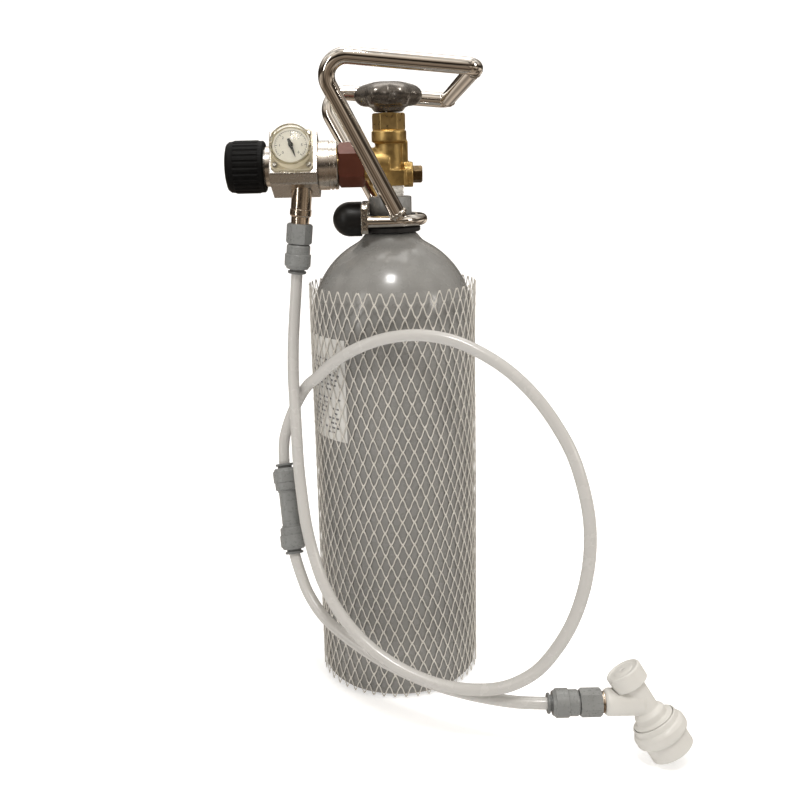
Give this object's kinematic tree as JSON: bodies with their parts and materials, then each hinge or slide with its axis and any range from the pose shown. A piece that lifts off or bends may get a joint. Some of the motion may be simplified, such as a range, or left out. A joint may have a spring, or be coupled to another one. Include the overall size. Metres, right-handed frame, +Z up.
{
  "type": "carbon dioxide regulator set",
  "caption": "Portable gas kit: carbon dioxide cylinder with valve and carry handle, mini pressure regulator with gauge, push-fit hose, check valve and ball-lock keg disconnect.",
  "frame": {"origin": "centre of the flat base of the cylinder, on its axis", "axes": "+Z up the cylinder axis; -X towards the regulator and its knob; -Y towards the gauge face, the hose loop and the disconnect"},
  "size_m": [0.3026, 0.2143, 0.4562],
  "materials": {
    "cylinder_paint": "satin enamel",
    "net": "soft extruded mesh",
    "label": null,
    "seal_tape": "PTFE",
    "cast_brass": "cast, lightly tarnished",
    "bright_brass": "turned",
    "dark_brass": "dark oxidised",
    "grey_wheel": "die-cast, satin grey",
    "steel": "zinc-plated or stainless",
    "chrome": "bright plated",
    "black_plastic": "satin moulded",
    "black_rubber": "matte",
    "white_plastic": "nylon or PTFE",
    "brown_anodised": "red-brown anodised",
    "aluminium": "turned",
    "block_aluminium": "brushed and clear anodised",
    "amber_plastic": "translucent amber tint",
    "dial_white": null,
    "clear_lens": "clear moulded lens",
    "nickel": "nickel-plated brass",
    "grey_fitting": "grey acetal",
    "hose": "smooth extruded polyethylene",
    "ivory_plastic": "warm white moulded acetal"
  },
  "bodies": {
    "kit": {"cylinder_shell": "cylinder_paint", "protective_net": "net", "info_label": "label", "thread_tape": "seal_tape", "valve_body": "cast_brass", "gland_nut": "bright_brass", "spindle_packing": "white_plastic", "burst_plug": "dark_brass", "handle_front_rod": "chrome", "handle_rear_rod": "chrome", "handle_cross_bar": "chrome", "clamp_yoke": "chrome", "clamp_plate": "chrome", "clamp_screw": "steel", "clamp_cap": "black_plastic", "neck_collar": "black_rubber", "inlet_nipple": "bright_brass", "inlet_washer": "white_plastic", "inlet_cap": "aluminium", "regulator_body": "block_aluminium", "bonnet": "aluminium", "main_spring": "steel", "gauge_base": "amber_plastic", "gauge_dial": "dial_white", "bourdon_tube": "bright_brass", "gauge_lens": "clear_lens", "gauge_screws": "steel", "outlet_stem": "nickel", "outlet_fitting": "grey_fitting", "hose_seals": "black_rubber", "hose_a": "hose", "check_body": "grey_fitting", "check_spring": "steel", "hose_b": "hose", "disc_fitting": "grey_fitting", "disc_flare": "nickel", "disc_body": "ivory_plastic", "disc_cap": "ivory_plastic", "pin_spring": "steel", "collar_spring": "steel", "lock_balls": "steel"},
    "valve_wheel": {"handwheel": "grey_wheel", "spindle": "steel", "wheel_nut": "steel"},
    "valve_seat_plug": {"valve_plug": "white_plastic"},
    "pressure_knob": {"pressure_knob": "black_plastic"},
    "adjusting_screw": {"adjusting_screw": "bright_brass"},
    "piston": {"piston": "bright_brass", "poppet": "bright_brass"},
    "gauge_needle": {"gauge_needle": "black_plastic"},
    "inlet_nut": {"inlet_nut": "brown_anodised"},
    "outlet_nut": {"outlet_nut": "grey_fitting"},
    "outlet_collet": {"outlet_collet": "grey_fitting"},
    "check_poppet": {"check_poppet": "white_plastic"},
    "check_collet_in": {"check_collet_in": "grey_fitting"},
    "check_collet_out": {"check_collet_out": "grey_fitting"},
    "disc_nut": {"disc_nut": "grey_fitting"},
    "disc_collet": {"disc_collet": "grey_fitting"},
    "disc_pin": {"disc_pin": "steel"},
    "lock_collar": {"lock_collar": "ivory_plastic"}
  },
  "joints": [
    {"name": "wheel_turn", "type": "hinge", "parent": "kit", "child": "valve_wheel", "pos_m": [0, 0, 0.427], "axis": [0, 0, 1], "range_deg": [0, 540]},
    {"name": "plug_lift", "type": "slide", "parent": "kit", "child": "valve_seat_plug", "axis": [0, 0, 1], "range_m": [0, 0.0023]},
    {"name": "knob_turn", "type": "hinge", "parent": "kit", "child": "pressure_knob", "pos_m": [-0.1, 0, 0.3823], "axis": [1, 0, 0], "range_deg": [0, 720]},
    {"name": "screw_advance", "type": "slide", "parent": "kit", "child": "adjusting_screw", "axis": [1, 0, 0], "range_m": [0, 0.00305], "deforming": ["main_spring"]},
    {"name": "piston_stroke", "type": "slide", "parent": "kit", "child": "piston", "axis": [1, 0, 0], "range_m": [0, 0.0006], "stiffness_N_per_m": 3000},
    {"name": "needle_swing", "type": "hinge", "parent": "kit", "child": "gauge_needle", "pos_m": [-0.0665, -0.02308, 0.39663], "axis": [0, -0.9026, 0.4305], "range_deg": [-270, 0], "stiffness_Nm_per_rad": 0.0005},
    {"name": "inlet_nut_spin", "type": "hinge", "parent": "kit", "child": "inlet_nut", "pos_m": [-0.0265, 0, 0.3823], "axis": [1, 0, 0], "continuous": true},
    {"name": "outlet_nut_spin", "type": "hinge", "parent": "kit", "child": "outlet_nut", "pos_m": [-0.06515, -0.004, 0.33419], "axis": [0.1045, 0, 0.9945], "continuous": true},
    {"name": "outlet_collet_press", "type": "slide", "parent": "kit", "child": "outlet_collet", "axis": [0.1045, 0, 0.9945], "range_m": [0, 0.0012]},
    {"name": "check_poppet_lift", "type": "slide", "parent": "kit", "child": "check_poppet", "axis": [0.1045, -0.332, -0.9375], "range_m": [0, 0.002], "stiffness_N_per_m": 150, "deforming": ["check_spring"]},
    {"name": "check_collet_in_press", "type": "slide", "parent": "kit", "child": "check_collet_in", "axis": [0.1045, -0.332, -0.9375], "range_m": [0, 0.0012]},
    {"name": "check_collet_out_press", "type": "slide", "parent": "kit", "child": "check_collet_out", "axis": [-0.1045, 0.332, 0.9375], "range_m": [0, 0.0012]},
    {"name": "disc_nut_spin", "type": "hinge", "parent": "kit", "child": "disc_nut", "pos_m": [0.1215, -0.13175, 0.0395], "axis": [1, 0, 0], "continuous": true},
    {"name": "disc_collet_press", "type": "slide", "parent": "kit", "child": "disc_collet", "axis": [1, 0, 0], "range_m": [0, 0.0012]},
    {"name": "pin_press", "type": "slide", "parent": "kit", "child": "disc_pin", "axis": [-0.515, 0.1928, 0.8352], "range_m": [0, 0.003], "stiffness_N_per_m": 600, "deforming": ["pin_spring"]},
    {"name": "collar_pull", "type": "slide", "parent": "kit", "child": "lock_collar", "axis": [-0.515, 0.1928, 0.8352], "range_m": [0, 0.0045], "stiffness_N_per_m": 900, "deforming": ["collar_spring"]}
  ],
  "couplings": [
    {"joint": "plug_lift", "follows": "wheel_turn", "m_per_rad": 0.00023873},
    {"joint": "screw_advance", "follows": "knob_turn", "m_per_rad": 0.00023873}
  ]
}
